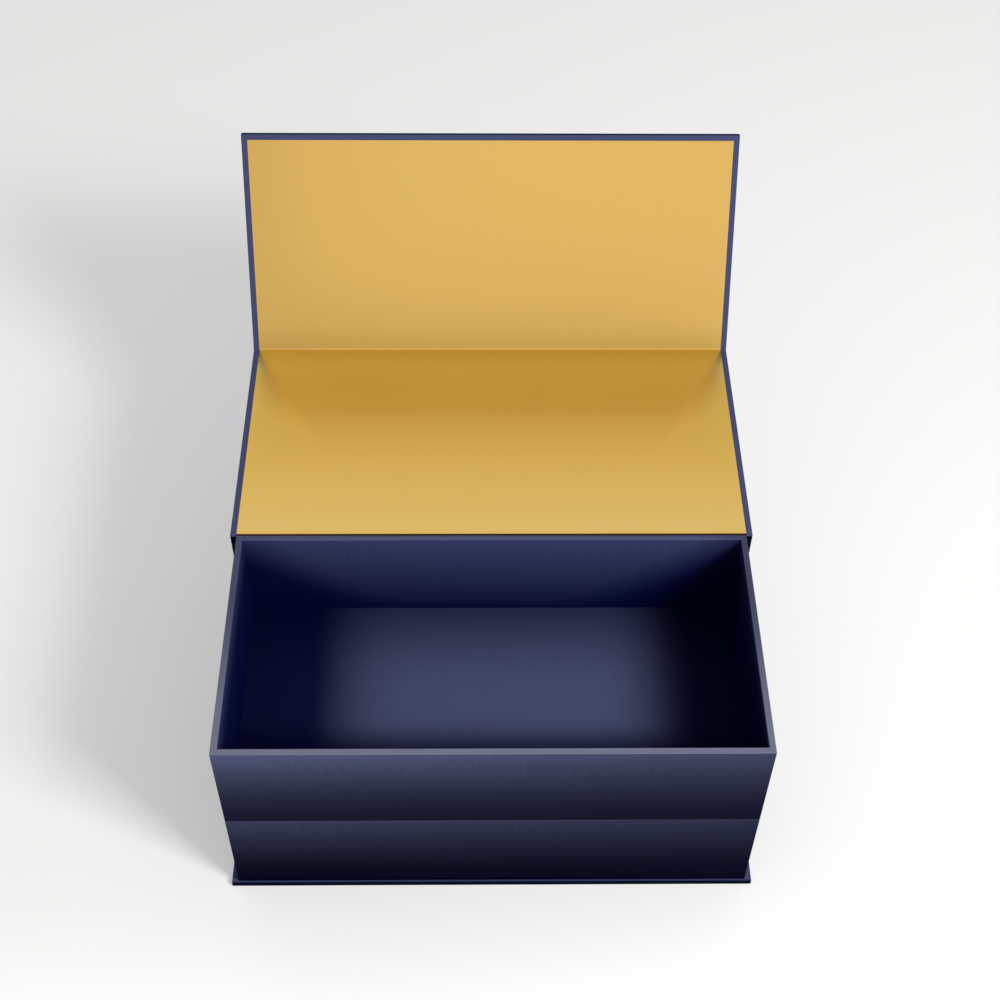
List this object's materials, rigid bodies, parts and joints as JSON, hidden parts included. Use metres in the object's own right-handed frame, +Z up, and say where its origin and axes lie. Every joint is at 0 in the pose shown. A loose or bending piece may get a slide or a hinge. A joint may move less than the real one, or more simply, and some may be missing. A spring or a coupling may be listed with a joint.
{
  "type": "magnetic gift box",
  "caption": "Rigid paper gift box: a book-style case with a hinged lid and magnetic front flap around stacked trays, the upper one lifting out.",
  "frame": {"origin": "on the underside of the base, under the middle of the trays", "axes": "X to the right seen from the front, Y from the front to the spine and the open lid, Z up"},
  "size_m": [0.2464, 0.2967, 0.2155],
  "materials": {
    "greyboard": "plain pressed grey board, hidden under the papers",
    "navy_paper": "matt navy covering paper with a fine fibre grain",
    "gold_paper": "smooth satin gold lining paper",
    "stay_tape": "brown gummed paper tape, hidden under the covering",
    "magnet": "nickel-plated magnet, hidden",
    "steel": "zinc-plated steel, hidden"
  },
  "bodies": {
    "base": {"base_board": "greyboard", "base_wrap": "navy_paper", "lower_back_board": "greyboard", "lower_corner_stays": "stay_tape", "lower_floor_board": "greyboard", "lower_floor_lining": "navy_paper", "lower_front_board": "greyboard", "lower_left_board": "greyboard", "lower_right_board": "greyboard", "lower_wrap": "navy_paper", "spine_board": "greyboard", "spine_lining": "gold_paper", "spine_wrap": "navy_paper", "steel_discs": "steel"},
    "lid": {"lid_board": "greyboard", "lid_hinge_lining": "gold_paper", "lid_hinge_wrap": "navy_paper", "lid_lining": "gold_paper", "lid_wrap": "navy_paper"},
    "flap": {"flap_board": "greyboard", "flap_hinge_lining": "gold_paper", "flap_hinge_wrap": "navy_paper", "flap_lining": "gold_paper", "flap_magnets": "magnet", "flap_wrap": "navy_paper"},
    "upper_tray": {"upper_back_board": "greyboard", "upper_bottom_sheet": "navy_paper", "upper_corner_stays": "stay_tape", "upper_floor_board": "greyboard", "upper_floor_lining": "navy_paper", "upper_front_board": "greyboard", "upper_left_board": "greyboard", "upper_right_board": "greyboard", "upper_wrap": "navy_paper"}
  },
  "joints": [
    {"name": "lid_hinge", "type": "hinge", "parent": "base", "child": "lid", "pos_m": [0, 0.062, 0.11465], "axis": [-1, 0, 0], "range_deg": [-180, 0], "deforming": ["lid_hinge_wrap", "lid_hinge_lining"]},
    {"name": "flap_hinge", "type": "hinge", "parent": "lid", "child": "flap", "pos_m": [0, 0.1874, 0.111], "axis": [-1, 0, 0], "range_deg": [-25, 65], "deforming": ["flap_hinge_wrap", "flap_hinge_lining"]},
    {"name": "tray_lift", "type": "slide", "parent": "base", "child": "upper_tray", "axis": [0, 0, 1], "range_m": [0, 0.075]}
  ]
}
